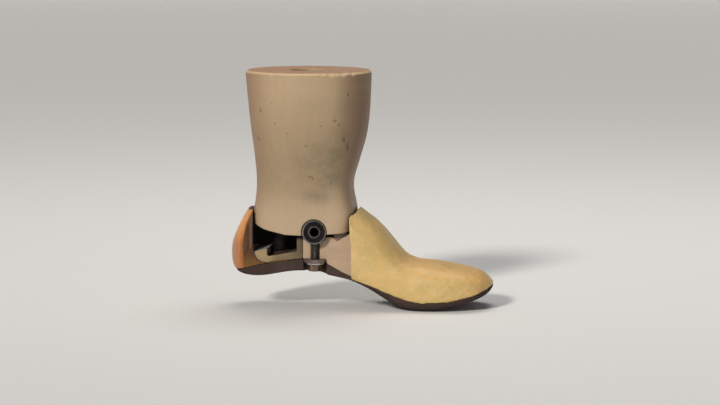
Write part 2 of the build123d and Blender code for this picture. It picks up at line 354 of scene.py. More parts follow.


# Stretches of the block in X and in Z over which its colour changes: painted shade at the rear and in front,
# painted light low down and high up, and the top face
BLOCK_REAR_SHADE_X = (-66 * MM, -26 * MM)
BLOCK_FRONT_SHADE_X = (26 * MM, 56 * MM)
BLOCK_LOW_LIGHT_Z = (-150 * MM, -110 * MM)
BLOCK_UPPER_LIGHT_Z = (-70 * MM, -8 * MM)
BLOCK_TOP_Z = (-1.2 * MM, -0.4 * MM)


def block_wood():
    """Pale carved wood: faint sanding marks, a yellow worn rim, dark dents; painted shade, rosy behind and
    dark in front; painted light low down and high up.
    """
    paint, colour, normal, rough = wood("block_wood", (0.355, 0.26, 0.155), (0.28, 0.19, 0.11),
                                        (0.35, 0.23, 0.13), contrast=0.35)
    # Painted shade: the rear turns rosy and darker where it turns away from the light
    rear = paint.zone("X", BLOCK_REAR_SHADE_X, 1.0, 0.0)
    colour = paint.mix(paint.calc("MULTIPLY", rear, 0.75), colour, (0.235, 0.12, 0.062))
    # Painted shade: the front darkens where it turns away from the key
    front = paint.zone("X", BLOCK_FRONT_SHADE_X, 0.0, 0.75)
    colour = paint.mix(front, colour, (0.145, 0.068, 0.033))
    sanding = paint.noise((26, 26, 1500), detail=3)
    colour = paint.mix(paint.spread(sanding, 0.52, 0.70, 0.0, 0.12), colour, (0.50, 0.40, 0.29))
    colour = paint.mix(paint.painted("stain"), colour, (0.135, 0.11, 0.065))
    specks = paint.cells((95, 95, 60))
    speck_share = paint.spread(specks, 0.030, 0.070, 0.40, 0.0)
    colour = paint.mix(speck_share, colour, (0.13, 0.08, 0.05))
    # Painted light: the lower part of the block lightened
    low = paint.zone("Z", BLOCK_LOW_LIGHT_Z, 0.55, 0.0)
    colour = paint.mix(low, colour, (0.49, 0.36, 0.24))
    # Painted light: the upper middle of the face lightened
    upper = paint.zone("Z", BLOCK_UPPER_LIGHT_Z, 0.0, 0.42)
    middle = paint.calc("SUBTRACT", 1.0, paint.calc("MAXIMUM", rear, front))
    colour = paint.mix(paint.calc("MULTIPLY", upper, middle), colour, (0.52, 0.38, 0.235))
    top = paint.zone("Z", BLOCK_TOP_Z)
    end_grain = paint.cells((420, 420, 60))
    top_colour = paint.mix(paint.spread(end_grain, 0.1, 0.6), (0.34, 0.18, 0.10), (0.43, 0.245, 0.14))
    colour = paint.mix(top, colour, top_colour)
    colour = paint.mix(paint.painted("edge"), colour, (0.60, 0.44, 0.25))
    colour = paint.mix(paint.painted("dent"), colour, (0.085, 0.055, 0.03))
    normal = paint.bump(sanding, 0.05 * MM, normal)
    normal = paint.bump(paint.spread(specks, 0.03, 0.10), 0.25 * MM, normal)
    return paint.done(colour, rough, normal, Specular_IOR_Level=0.4)


# Stretches of the rear keel: painted shade greys it in from the cut face and blackens the pocket, a painted
# shadow of the block and cup darkens the post in front of it, and it is darker under the pocket toward the
# front
INNER_SHADE_Y = (CUT_Y + 0.6 * MM, CUT_Y + 1.6 * MM)
POCKET_SHADE_X = (-40 * MM, -38.5 * MM)
POST_SHADOW_X = (-19 * MM, -6 * MM)
POST_SHADOW_Z = (-190 * MM, -180 * MM)
UNDER_POCKET_X = (-40 * MM, -28 * MM)


def sawn_wood(name, light, dark, warm, painted_shade=False):
    """Sawn faces of the keels: long grain along X, saw lines, grime, and painted shade and shadow round the
    bumper's pocket.
    """
    paint, colour, normal, rough = wood(name, light, dark, warm, grain=(12, 240, 240), ring_step=60,
                                        rough=0.62, contrast=0.4)
    saw = paint.noise((900, 20, 45), detail=2)
    colour = paint.mix(paint.spread(saw, 0.5, 0.7, 0.0, 0.18), colour, light)
    grime = paint.noise((60, 60, 60), detail=5, rough=0.65)
    colour = paint.mix(paint.spread(grime, 0.55, 0.75, 0.0, 0.5), colour, dark)
    if painted_shade:
        # Painted shade: the faces in from the cut face turn grey
        inside = paint.zone("Y", INNER_SHADE_Y)
        colour = paint.mix(inside, colour, (0.30, 0.28, 0.26))
        # Painted shade: the pocket nearly black
        pocket = paint.calc("MULTIPLY", paint.zone("X", POCKET_SHADE_X), inside)
        colour = paint.mix(pocket, colour, (0.012, 0.010, 0.009))
        # Painted shadow of the block and the cup on the post
        post = paint.calc("MULTIPLY", paint.zone("X", POST_SHADOW_X), paint.zone("Z", POST_SHADOW_Z, 0.0, 0.75))
        colour = paint.mix(post, colour, (0.060, 0.042, 0.023))
        colour = paint.mix(paint.zone("X", UNDER_POCKET_X, 0.0, 0.65), colour, (0.10, 0.07, 0.037))
    return paint.done(colour, rough, paint.bump(saw, 0.12 * MM, normal), Specular_IOR_Level=0.3)


# Cut or bare edge of the hide and the leather, made paler as a painted highlight where the block shades it
BARE_EDGE_HIGHLIGHT = (0.56, 0.48, 0.50)


def lacquer(name, main, shade, tint, scuffed, coat, rough):
    """Uneven lacquer over rawhide: mottled colour, small lumps, scuffs down to a paler coat."""
    paint = Paint(name)
    clouds = paint.noise((22, 22, 22), detail=4, rough=0.6, twist=0.6)
    mottle = paint.noise((120, 120, 120), detail=5, rough=0.65)
    grain = paint.cells((520, 520, 520))
    colour = paint.mix(paint.spread(clouds, 0.32, 0.70), shade, main)
    colour = paint.mix(paint.spread(mottle, 0.42, 0.72, 0.0, 0.5), colour, tint)
    top = paint.painted("tint")
    colour = paint.mix(paint.calc("MULTIPLY", top, 0.75), colour, tint)
    # The bare rim, made paler as a painted highlight
    colour = paint.mix(paint.calc("MULTIPLY", paint.painted("rim"), 0.8), colour, BARE_EDGE_HIGHLIGHT)
    scuffs = paint.noise((45, 45, 160), detail=7, rough=0.75, twist=1.5)
    scuff_share = paint.spread(scuffs, 0.66, 0.74, 0.0, 0.45)
    colour = paint.mix(scuff_share, colour, scuffed)
    colour = paint.mix(paint.painted("low"), colour, shade)
    pits = paint.cells((75, 75, 75))
    pit_share = paint.spread(pits, 0.03, 0.09, 0.6, 0.0)
    colour = paint.mix(pit_share, colour, (0.30, 0.17, 0.08))
    dimples = paint.noise((170, 170, 260), detail=4, rough=0.6, twist=0.5)
    normal = paint.bump(clouds, 1.4 * MM)
    normal = paint.bump(dimples, 0.9 * MM, normal)
    normal = paint.bump(mottle, 0.5 * MM, normal)
    normal = paint.bump(grain, 0.12 * MM, normal)
    roughness = paint.spread(mottle, 0.35, 0.70, rough - 0.08, rough + 0.14)
    return paint.done(colour, roughness, normal, Coat_Weight=coat, Coat_Roughness=0.18,
                      Specular_IOR_Level=0.35)


# Heights at which the cut edge of the heel cover changes colour: golden low down as painted light, lacquer
# colour up top
CUT_LOW_LIGHT_Z = (RIM_Z - 58 * MM, RIM_Z - 42 * MM)
CUT_HIGH_Z = (RIM_Z - 22 * MM, RIM_Z - 7 * MM)


def cut_hide():
    """Cut edge of the heel cover: brown layers darkened as painted shade, golden low down as painted light, a
    pale lining by the hollow.
    """
    paint = Paint("cut_hide")
    layers = paint.noise((160, 30, 50), detail=5, rough=0.7, twist=0.8)
    fibre = paint.noise((700, 700, 700), detail=4)
    # Brown layers of the cut hide, darkened as painted shade
    colour = paint.mix(paint.spread(layers, 0.3, 0.7), (0.050, 0.020, 0.009), (0.115, 0.050, 0.022))
    # Painted light: golden low down, where the face turns up toward the light
    colour = paint.mix(paint.zone("Z", CUT_LOW_LIGHT_Z, 0.8, 0.0), colour, (0.17, 0.085, 0.024))
    colour = paint.mix(paint.zone("Z", CUT_HIGH_Z, 0.0, 0.7), colour, (0.20, 0.085, 0.024))
    colour = paint.mix(paint.spread(fibre, 0.5, 0.8, 0.0, 0.3), colour, (0.19, 0.11, 0.06))
    colour = paint.mix(paint.painted("lining"), colour, (0.115, 0.09, 0.072))
    wrap = paint.painted("wrap")
    mottle = paint.noise((120, 120, 120), detail=5, rough=0.65)
    lacquered = paint.mix(paint.spread(mottle, 0.35, 0.7), (0.46, 0.18, 0.048), (0.62, 0.27, 0.08))
    lacquered = paint.mix(paint.painted("low"), lacquered, (0.28, 0.10, 0.027))
    colour = paint.mix(wrap, colour, lacquered)
    normal = paint.bump(layers, 0.5 * MM)
    return paint.done(colour, paint.spread(wrap, 0.0, 1.0, 0.7, 0.36), paint.bump(fibre, 0.15 * MM, normal),
                      Specular_IOR_Level=0.18)


def sole_rubber():
    """Old crepe rubber: grey-brown with a mauve cast, pitted, with patches of paler dust."""
    paint = Paint("sole_rubber")
    clouds = paint.noise((30, 30, 30), detail=5, rough=0.6)
    pits = paint.cells((420, 420, 420))
    layers = paint.noise((18, 18, 420), detail=3)
    colour = paint.mix(paint.spread(clouds, 0.3, 0.7), (0.036, 0.021, 0.017), (0.056, 0.034, 0.028))
    colour = paint.mix(paint.spread(layers, 0.5, 0.72, 0.0, 0.4), colour, (0.080, 0.054, 0.047))
    colour = paint.mix(paint.spread(pits, 0.06, 0.30, 0.65, 0.0), colour, (0.02, 0.014, 0.012))
    dust = paint.noise((150, 150, 150), detail=6, rough=0.8)
    colour = paint.mix(paint.spread(dust, 0.58, 0.75, 0.0, 0.3), colour, (0.14, 0.10, 0.085))
    normal = paint.bump(pits, 0.35 * MM)
    normal = paint.bump(layers, 0.25 * MM, normal)
    return paint.done(colour, 0.82, normal, Specular_IOR_Level=0.25)


def moulded_rubber():
    """Black rubber, bloomed grey in places."""
    paint = Paint("black_rubber")
    bloom = paint.noise((110, 110, 110), detail=5, rough=0.7)
    fine = paint.noise((900, 900, 900), detail=3)
    colour = paint.mix(paint.spread(bloom, 0.45, 0.75), (0.006, 0.005, 0.005), (0.013, 0.011, 0.012))
    return paint.done(colour, paint.spread(bloom, 0.35, 0.7, 0.42, 0.68), paint.bump(fine, 0.08 * MM),
                      Specular_IOR_Level=0.15)


def metal(name, bright, dull, stain, rough):
    """Turned metal with oily stains."""
    paint = Paint(name)
    turning = paint.noise((700, 60, 700), detail=3)
    age = paint.noise((170, 170, 170), detail=6, rough=0.7)
    colour = paint.mix(paint.spread(age, 0.35, 0.65), bright, dull)
    colour = paint.mix(paint.spread(age, 0.58, 0.72, 0.0, 0.8), colour, stain)
    roughness = paint.spread(age, 0.35, 0.7, rough, rough + 0.3)
    return paint.done(colour, roughness, paint.bump(turning, 0.04 * MM), Metallic=1.0)


def felt():
    """Dense grey-brown felt."""
    paint = Paint("felt")
    hair = paint.noise((900, 900, 900), detail=6, rough=0.8, twist=2.0)
    clouds = paint.noise((90, 90, 90), detail=4)
    colour = paint.mix(paint.spread(clouds, 0.3, 0.7), (0.14, 0.10, 0.075), (0.22, 0.165, 0.125))
    colour = paint.mix(paint.spread(hair, 0.5, 0.8, 0.0, 0.6), colour, (0.28, 0.22, 0.17))
    return paint.done(colour, 0.95, paint.bump(hair, 0.4 * MM), Sheen_Weight=0.4, Specular_IOR_Level=0.15)


def old_leather(name, main, dark, worn):
    """Leather gone hard with oil and dirt; as the heel's inside, its near-black colours are painted shade."""
    paint = Paint(name)
    clouds = paint.noise((70, 70, 70), detail=5, rough=0.65, twist=0.8)
    grain = paint.cells((650, 650, 650))
    colour = paint.mix(paint.spread(clouds, 0.32, 0.68), dark, main)
    colour = paint.mix(paint.spread(clouds, 0.60, 0.72, 0.0, 0.6), colour, worn)
    # The bare rim at the top of the hollow, made paler as a painted highlight
    colour = paint.mix(paint.painted("rim"), colour, BARE_EDGE_HIGHLIGHT)
    normal = paint.bump(grain, 0.12 * MM)
    return paint.done(colour, 0.7, paint.bump(clouds, 0.3 * MM, normal), Specular_IOR_Level=0.3)


def fibre_disc():
    """Red-brown vulcanised fibre."""
    paint = Paint("fibre")
    clouds = paint.noise((130, 130, 130), detail=5, rough=0.65)
    colour = paint.mix(paint.spread(clouds, 0.3, 0.7), (0.03, 0.012, 0.009), (0.06, 0.022, 0.015))
    return paint.done(colour, 0.5, paint.bump(clouds, 0.1 * MM))


BLOCK = block_wood()
KEEL = sawn_wood("keel_wood", (0.34, 0.25, 0.13), (0.19, 0.125, 0.06), (0.28, 0.195, 0.095), painted_shade=True)
FRONT = sawn_wood("front_wood", (0.44, 0.32, 0.22), (0.35, 0.24, 0.155), (0.44, 0.29, 0.20))
COVER = lacquer("foot_cover", (0.61, 0.43, 0.18), (0.48, 0.345, 0.125), (0.70, 0.40, 0.135),
                (0.72, 0.57, 0.33), coat=0.10, rough=0.50)
HEEL = lacquer("heel_lacquer", (0.70, 0.29, 0.084), (0.35, 0.125, 0.037), (0.74, 0.36, 0.12),
               (0.90, 0.62, 0.40), coat=0.45, rough=0.30)
CUT_HIDE = cut_hide()
SOLE = sole_rubber()
RUBBER = moulded_rubber()
STEEL = metal("steel", (0.60, 0.59, 0.57), (0.30, 0.29, 0.28), (0.13, 0.10, 0.075), 0.24)
BROWNED = metal("brown_steel", (0.26, 0.19, 0.13), (0.12, 0.08, 0.055), (0.06, 0.035, 0.02), 0.38)
BRASS = metal("brass_washer", (0.62, 0.46, 0.20), (0.36, 0.25, 0.11), (0.14, 0.08, 0.04), 0.3)
FELT = felt()
FIBRE = fibre_disc()
PAD = old_leather("leather_pad", (0.20, 0.14, 0.13), (0.09, 0.06, 0.055), (0.27, 0.20, 0.18))
DARK_STEEL = metal("dark_steel", (0.15, 0.14, 0.13), (0.07, 0.062, 0.06), (0.035, 0.025, 0.02), 0.30)
# The heel's hollow: near-black leather colours as painted shade
INSIDE_SHADE = old_leather("heel_inside_shade", (0.055, 0.055, 0.042), (0.022, 0.024, 0.019), (0.10, 0.09, 0.075))


def finish_piece(piece, body, slot, *materials):
    """Gives the piece its materials and body. The slot is not used."""
    piece.data.materials.clear()
    for material in materials:
        piece.data.materials.append(material)
    if body:
        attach(piece, body)
    return piece


# ------------------------------------------------------------------ ankle block

# Dents on the outer face: X, Z, width and height in mm
DENTS = [(-43, -38, 1.5, 3.4), (-46, -67, 1.3, 2.6), (-27, -50, 1.6, 1.3), (33, -47, 2.0, 1.6),
         (37, -51, 1.3, 1.5), (44, -74, 1.8, 6.0), (41, -66, 2.2, 3.5), (45, -22, 1.3, 1.8),
         (7, -104, 3.4, 1.5), (9, -106, 1.6, 1.6), (27, -110, 1.1, 2.2), (-14, -60, 1.0, 1.3),
         (4, -72, 0.9, 1.2), (20, -52, 1.4, 1.0), (-30, -30, 0.9, 1.2)]
# Soft dark stains, in the same terms and with their strength
STAINS = [(30, -84, 24, 22, 0.70), (26, -104, 16, 14, 0.75), (14, -124, 17, 8, 0.65), (4, -92, 14, 16, 0.40),
          (41, -66, 8, 14, 0.60), (-38, -96, 16, 26, 0.32), (10, -30, 26, 9, 0.16), (46, -30, 12, 20, 0.30)]
# Chips along the top rim: place round the rim in degrees from the toe side, and size in mm
CHIPS = [(-62, 2.8), (-56, 2.0), (-50, 3.0), (-70, 1.8), (-118, 1.8), (-38, 2.4), (60, 3.0), (150, 2.6)]
# Wear of the top rim and how far in it reaches, and the depths of the dents and of the carving's waves
RIM_WEAR = 1.9 * MM
RIM_REACH = 6 * MM
DENT_DEPTH = 0.7 * MM
CARVING = 0.22 * MM


def ankle_block():
    """Carved block with its rim worn and chipped, dented and stained on the outer face."""
    piece = softened("carved_ankle_block", ["ankle_block"], voxel=0.85 * MM, rounds=2)
    points = points_of(piece)
    normals = normals_of(piece)
    low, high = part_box("ankle_block")
    centre = (low + high) / 2
    half_x = (high.x - low.x) / 2 - 0.6 * MM
    half_y = (high.y - low.y) / 2
    round_x = (points[:, 0] - centre.x) / half_x
    round_y = points[:, 1] / half_y
    inward = (1 - np.hypot(round_x, round_y)) * half_y
    depth = -points[:, 2]
    worn = RIM_WEAR * (1 + 0.25 * noise_at(points, 60, 3.0))
    gap = worn - inward - depth
    rim = (gap > 0) & (depth < RIM_REACH) & (inward < RIM_REACH)
    outward = np.stack([round_x / half_x, round_y / half_y], 1)
    outward /= np.maximum(np.linalg.norm(outward, axis=1), 1e-9)[:, None]
    points[rim, :2] -= outward[rim] * gap[rim, None] / 2
    points[rim, 2] -= gap[rim] / 2
    edge = np.where(rim, np.clip(gap / (0.8 * MM), 0, 1), 0.0)
    for degrees, size in CHIPS:
        angle = radians(degrees)
        spot = np.array([centre.x + half_x * cos(angle), half_y * sin(angle), -1.5 * MM])
        reach = np.linalg.norm((points - spot) / (size * MM * np.array([1.6, 1.6, 1.0])), axis=1)
        bite = np.clip(1 - reach ** 2, 0, 1)
        points[:, 2] -= bite * size * 0.32 * MM
        points[:, :2] -= outward * (bite * size * 0.22 * MM)[:, None]
        edge = np.maximum(edge, np.clip(bite * 1.2, 0, 0.3))
    dent = np.zeros(len(points))
    facing = normals[:, 1] < -0.25
    for x, z, width, height in DENTS:
        across = (points[:, 0] - x * MM) / (width * MM)
        along = (points[:, 2] - z * MM) / (height * MM)
        bite = np.clip(1 - (across ** 2 + along ** 2) * (1 + 0.8 * noise_at(points, 500, x)), 0, 1) * facing
        points -= normals * (bite * DENT_DEPTH)[:, None]
        dent = np.maximum(dent, bite * 0.55)
    stain = np.zeros(len(points))
    blotch = 0.75 + 0.5 * noise_at(points, 55, 6.0) + 0.3 * noise_at(points, 190, 8.0)
    for x, z, width, height, strength in STAINS:
        reach = ((points[:, 0] / MM - x) / width) ** 2 + ((points[:, 2] / MM - z) / height) ** 2
        stain = np.maximum(stain, np.exp(-reach) * strength * blotch * facing)
    points += normals * (noise_at(points, 45, 1.0) * CARVING)[:, None] * (depth > 8 * MM)[:, None]
    set_points(piece, points)
    paint_points(piece, "edge", edge * 0.8)
    paint_points(piece, "dent", dent)
    paint_points(piece, "stain", np.clip(stain, 0, 0.8))
    return finish_piece(piece, "shank", "block_wood", BLOCK)


# ------------------------------------------------------------------ foot

def hide_lumps(piece, amount, seed):
    """Small lumps of a hide shrunk on by hand. They fade out at the cut faces and the rim."""
    points = points_of(piece)
    normals = normals_of(piece)
    lumps = noise_at(points, 42, seed) * 0.5
    lumps += noise_at(points, 110, seed + 5) * 0.35
    lumps += noise_at(points, 260, seed) * 0.2
    clear = smoothstep(1 * MM, 8 * MM, RIM_Z - points[:, 2])
    behind = points[:, 0] < CUT_FRONT
    clear *= np.where(behind, smoothstep(0.5 * MM, 5 * MM, points[:, 1] - CUT_Y), 1.0)
    clear *= np.where(points[:, 1] < CUT_Y, smoothstep(0.5 * MM, 6 * MM, points[:, 0] - CUT_FRONT), 1.0)
    points += normals * (lumps * amount * clear)[:, None]
    set_points(piece, points)
    return points, normals


# Stretches in X over which the top of the foot and the toe turn to the tint
RIDGE_X = (50 * MM, 100 * MM)
TIP_X = (150 * MM, 185 * MM)


def foot_cover():
    """Instep and toe cover in one piece, over the felt at the toe break."""
    piece = softened("foot_cover", ["instep_cover", "toe_wedge", "toe_cover"], voxel=0.9 * MM, rounds=3)
    points, normals = hide_lumps(piece, amount=0.8 * MM, seed=2.0)
    ridge = smoothstep(0.35, 0.95, normals[:, 2]) * smoothstep(*RIDGE_X, points[:, 0])
    tip = smoothstep(*TIP_X, points[:, 0])
    paint_points(piece, "tint", np.clip(0.65 * ridge + 0.8 * tip, 0, 1))
    finish_piece(piece, None, "foot_cover", COVER)
    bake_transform(piece)
    return piece


# Stretches of the heel cover, as distances down from its rim, over which on the way up it turns to the
# tint, leaves the dark shade at its foot, and begins to show its lining
TINT_DROP = (27 * MM, 7 * MM)
DARK_DROP = (40 * MM, 14 * MM)
LINING_DROP = (41 * MM, 38 * MM)
# The lining's pale line lies this far behind the hollow's wall
LINING_BEHIND = 0.9 * MM
HOLLOW_BEHIND_AXLE = 14 * MM
# How far the lacquer runs from the back over the cut face
LACQUER_WRAP = 2.6 * MM
# What lies this close to the cut plane counts as cut
AT_CUT = 0.9 * MM


def heel_cover():
    """Lacquered outside, brown cut face darkened as painted shade with a pale lining, hollow painted near
    black as shade, bare rim made paler as a painted highlight.
    """
    piece = softened("heel_hide", ["heel_cover"], voxel=0.8 * MM, rounds=2)
    points, normals = hide_lumps(piece, amount=0.4 * MM, seed=7.0)
    drop = RIM_Z - points[:, 2]
    paint_points(piece, "tint", smoothstep(*TINT_DROP, drop) * 0.6)
    paint_points(piece, "low", 0.85 * (1 - smoothstep(*DARK_DROP, drop)))
    hollow = np.array([AXLE.x - HOLLOW_BEHIND_AXLE, 0.0])
    away = points[:, :2] - hollow
    away /= np.maximum(np.linalg.norm(away, axis=1), 1e-9)[:, None]
    facing_in = np.sum(away * normals[:, :2], axis=1)
    wall_x = points[(facing_in < -0.5) & (abs(points[:, 1] - CUT_Y) < 2 * MM), 0].min()
    strip = 1 - smoothstep(0.3 * MM, 0.8 * MM, abs(points[:, 0] - wall_x + LINING_BEHIND))
    paint_points(piece, "lining", strip * smoothstep(*LINING_DROP, drop))
    row_step = 2 * MM
    levels = np.arange(points[:, 2].min(), RIM_Z, row_step)
    cut_points = points[:, 1] < CUT_Y + AT_CUT
    rows = [cut_points & (abs(points[:, 2] - level) < row_step) for level in levels]
    outline = [points[row, 0].min() if row.any() else wall_x for row in rows]
    from_outside = points[:, 0] - np.interp(points[:, 2], levels, outline)
    reach = LACQUER_WRAP * (1 + 0.3 * noise_at(points, 90, 2.0))
    paint_points(piece, "wrap", 1 - smoothstep(-0.9 * MM, 0.9 * MM, from_outside - reach))
    # Bare rim, and the top of the hollow's wall, made paler as a painted highlight
    rim = smoothstep(1.6 * MM, 0.9 * MM, drop)
    inner_rim = smoothstep(6.5 * MM, 4.5 * MM, drop) * smoothstep(-0.2, -0.5, facing_in)
    paint_points(piece, "rim", np.maximum(rim, inner_rim))
    finish_piece(piece, "foot", "heel_lacquer", HEEL, CUT_HIDE, INSIDE_SHADE)
    # Faces at the cut take the cut hide; faces of the hollow take the near-black painted shade
    for face in piece.data.polygons:
        centre = face.center
        normal = face.normal
        out = (centre.xy - Vector(hollow)).normalized().dot(normal.xy)
        at_cut = centre.y < CUT_Y + AT_CUT and centre.x < CUT_FRONT
        if (at_cut and normal.y < -0.5) or normal.z < -0.6:
            face.material_index = 1
        elif out < -0.3 or (at_cut and out < 0.3):
            face.material_index = 2
    return piece


def full_sole():
    """Sole in one layer from heel to toe, uneven along its edge and flat underneath."""
    piece = softened("full_sole", ["sole", "toe_sole"], voxel=1.0 * MM, rounds=3)
    points = points_of(piece)
    normals = normals_of(piece)
    under = smoothstep(-0.3, -0.9, normals[:, 2])
    points += normals * (noise_at(points, 70, 4.0) * 0.3 * MM * (1 - under))[:, None]
    set_points(piece, points)
    finish_piece(piece, None, "sole_rubber", SOLE)
    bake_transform(piece)
    return piece


def keels():
    """The two wooden cores of the foot."""
    for node, name, slot, material in (("keel_rear", "rear_keel_wood", "keel_wood", KEEL),
                                       ("keel_front", "front_keel_wood", "front_wood", FRONT)):
        finish_piece(softened(name, [node], voxel=0.9 * MM, rounds=1), "foot", slot, material)


# ------------------------------------------------------------------ ankle joint

def thread(radius, pitch, z_low, z_high, centre):
    """Threaded rod, closed at both ends."""
    shape = bmesh.new()
    around = 40
    per_turn = 8
    rows = int((z_high - z_low) / pitch * per_turn)
    rings = []
    for row in range(rows + 1):
        z = z_low + (z_high - z_low) * row / rows
        ring = []
        for step in range(around):
            angle = 2 * pi * step / around
            phase = ((z - z_low) / pitch - step / around) % 1.0
            crest = 1 - abs(2 * phase - 1)
            ends = min(1.0, min(row, rows - row) / per_turn)
            r = radius - 0.5 * pitch * (1 - min(1.0, crest * 1.35)) * 0.9 - (1 - ends) * 0.3 * pitch
            ring.append(shape.verts.new((centre[0] + cos(angle) * r, centre[1] + sin(angle) * r, z)))
        rings.append(ring)
    for lower, upper in zip(rings, rings[1:]):
        band(shape, lower, upper)
    shape.faces.new(list(reversed(rings[0])))
    shape.faces.new(rings[-1])
    return new_piece("thread", shape)


def joined(name, pieces):
    """One object from several."""
    shape = bmesh.new()
    for piece in pieces:
        shape.from_mesh(piece.data)
        bpy.data.objects.remove(piece)
    piece = new_piece(name, shape)
    piece.data.set_sharp_from_angle(angle=radians(35))
    return piece


def eye_bolt(side, where):
    """Steel cup on a threaded stud. The cup's rim is bevelled inwards."""
    low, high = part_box("eye_bolt_" + where)
    near, far = (high.y, low.y) if side < 0 else (low.y, high.y)
    length = abs(far - near)
    radius = radius_of("eye_bolt_" + where)
    inside = radius_of("eye_bush_" + where) + FIT
    lip = 0.5 * EDGE
    cup = [(CUP_HOLE_R, 0), (radius - EDGE, 0), (radius, EDGE), (radius, length - lip),
           (radius - lip, length), (inside, length - CUP_BEVEL), (inside, CUP_WEB), (CUP_HOLE_R, CUP_WEB)]
    ring = turned("ring", cup, (0, side, 0), (AXLE.x, near, AXLE.z), turns=96)
    nut_low, nut_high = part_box("stud_nut_" + where)
    rod_y = (nut_low.y + nut_high.y) / 2
    rod_top = AXLE.z - radius + 0.7 * MM
    rod = thread(STUD_R, STUD_PITCH, low.z, rod_top, (AXLE.x, rod_y))
    piece = joined("eye_with_stud_" + where, [ring, rod])
    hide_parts("eye_bolt_" + where)
    finish_piece(piece, "foot", "steel", STEEL, DARK_STEEL)
    for face in piece.data.polygons:
        below_cup = face.center.z < AXLE.z - radius - 0.2 * MM
        within_cup = abs(face.center.y - near) < length - 0.9 * MM
        if below_cup or within_cup:
            face.material_index = 1
    return piece


def eye_bush(side, where):
    """Moulded bush with a raised ring round the axle's end."""
    low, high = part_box("eye_bush_" + where)
    length = high.y - low.y
    start = high.y if side < 0 else low.y
    outer = radius_of("eye_bush_" + where)
    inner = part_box("ankle_axle")[1].x - AXLE.x + 0.06 * MM
    bevel = 0.8 * MM
    sunk = length - 0.5 * MM
    outline = [(inner, 0), (outer, 0), (outer, length - bevel), (outer - bevel, length),
               (inner + 2.0 * MM, length), (inner + 1.4 * MM, sunk), (inner + 0.4 * MM, sunk),
               (inner, length - 0.9 * MM)]
    piece = turned("moulded_bush_" + where, outline, (0, side, 0), (AXLE.x, start, AXLE.z), turns=96)
    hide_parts("eye_bush_" + where)
    return finish_piece(piece, "foot", "black_rubber", RUBBER)


def axle():
    """Hollow axle, its ends broken at the edge."""
    low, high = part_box("ankle_axle")
    outline = ring_outline(AXLE_BORE_R, radius_of("ankle_axle"), 0, high.y - low.y, EDGE)
    piece = turned("axle_tube", outline, (0, 1, 0), (AXLE.x, low.y, AXLE.z), turns=96)
    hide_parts("ankle_axle")
    return finish_piece(piece, "shank", "steel", DARK_STEEL)


def stud_ring(name, node, slot, material, edge):
    """Pad or washer round a stud."""
    low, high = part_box(node)
    middle = (low + high) / 2
    outline = ring_outline(STUD_R + FIT, radius_of(node), 0, high.z - low.z, edge)
    piece = turned(name, outline, (0, 0, 1), (middle.x, middle.y, low.z))
    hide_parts(node)
    return finish_piece(piece, "foot", slot, material)


def stud_nut(where):
    """Hexagon nut with its corners turned off at both ends."""
    low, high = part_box("stud_nut_" + where)
    middle = (low + high) / 2
    flat = min(high.x - low.x, high.y - low.y) / 2
    corner = max(high.x - low.x, high.y - low.y) / 2
    height = high.z - low.z
    bore = STUD_R + 0.05 * MM
    shape = bmesh.new()
    steps = 96
    levels = 14
    grid = []
    for level in range(levels + 1):
        h = height * level / levels
        end = min(h, height - h)
        ring = []
        for step in range(steps):
            angle = 2 * pi * step / steps
            hexagon = flat / cos((angle + pi / 6) % (pi / 3) - pi / 6)
            r = min(hexagon, flat * 0.97 + end * 1.5, corner)
            ring.append(shape.verts.new((middle.x + r * sin(angle), middle.y + r * cos(angle), low.z + h)))
        grid.append(ring)
    for z in (high.z, low.z):
        ring = []
        for step in range(steps):
            angle = 2 * pi * step / steps
            ring.append(shape.verts.new((middle.x + bore * sin(angle), middle.y + bore * cos(angle), z)))
        grid.append(ring)
    for level in range(len(grid)):
        band(shape, grid[level], grid[(level + 1) % len(grid)])
    bmesh.ops.recalc_face_normals(shape, faces=shape.faces)
    piece = new_piece("hex_nut_" + where, shape)
    piece.data.set_sharp_from_angle(angle=radians(28))
    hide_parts("stud_nut_" + where)
    return finish_piece(piece, "foot", "brown_steel", BROWNED)


def on_slope(piece, middle, top):
    """Leans the lower end of an upright piece onto the sloping seat, and leaves its top level."""
    low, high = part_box("bumper_seat")
    slope = (high.z - low.z - SEAT_T) / (high.x - low.x)
    points = points_of(piece)
    share = np.clip((top - points[:, 2]) / (top - middle.z), 0, 1) if top > middle.z else 1.0
    points[:, 2] += slope * (points[:, 0] - middle.x) * share
    set_points(piece, points)


def heel_bumper():
    """Rubber bumper, a little barrelled by years of load."""
    low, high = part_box("heel_bumper")
    seat_low, seat_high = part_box("bumper_seat")
    middle = (low + high) / 2
    middle.z = (seat_low.z + seat_high.z + SEAT_T) / 2
    radius = radius_of("heel_bumper")
    height = high.z - middle.z
    bulge = 1.0 * MM
    outline = [(0, 0), (radius - 2 * bulge, 0)]
    for step in range(13):
        t = step / 12
        outline.append((radius - bulge + bulge * sin(pi * t), bulge + (height - 2 * bulge) * t))
    outline += [(radius - 2 * bulge, height), (0, height)]
    piece = turned("rubber_heel_bumper", outline, (0, 0, 1), middle)
    on_slope(piece, middle, high.z)
    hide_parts("heel_bumper")
    finish_piece(piece, "foot", "black_rubber", RUBBER)
    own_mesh(piece)
    return piece


def bumper_seat():
    """Fibre disc under the heel bumper, on the pocket's sloping floor."""
    low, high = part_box("bumper_seat")
    middle = (low + high) / 2
    middle.z -= SEAT_T / 2
    radius = radius_of("bumper_seat")
    outline = [(0, 0), (radius - EDGE, 0), (radius, EDGE), (radius, SEAT_T - EDGE),
               (radius - EDGE, SEAT_T), (0, SEAT_T)]
    piece = turned("fibre_bumper_seat", outline, (0, 0, 1), middle)
    on_slope(piece, middle, middle.z)
    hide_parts("bumper_seat")
    return finish_piece(piece, "foot", "fibre", FIBRE)


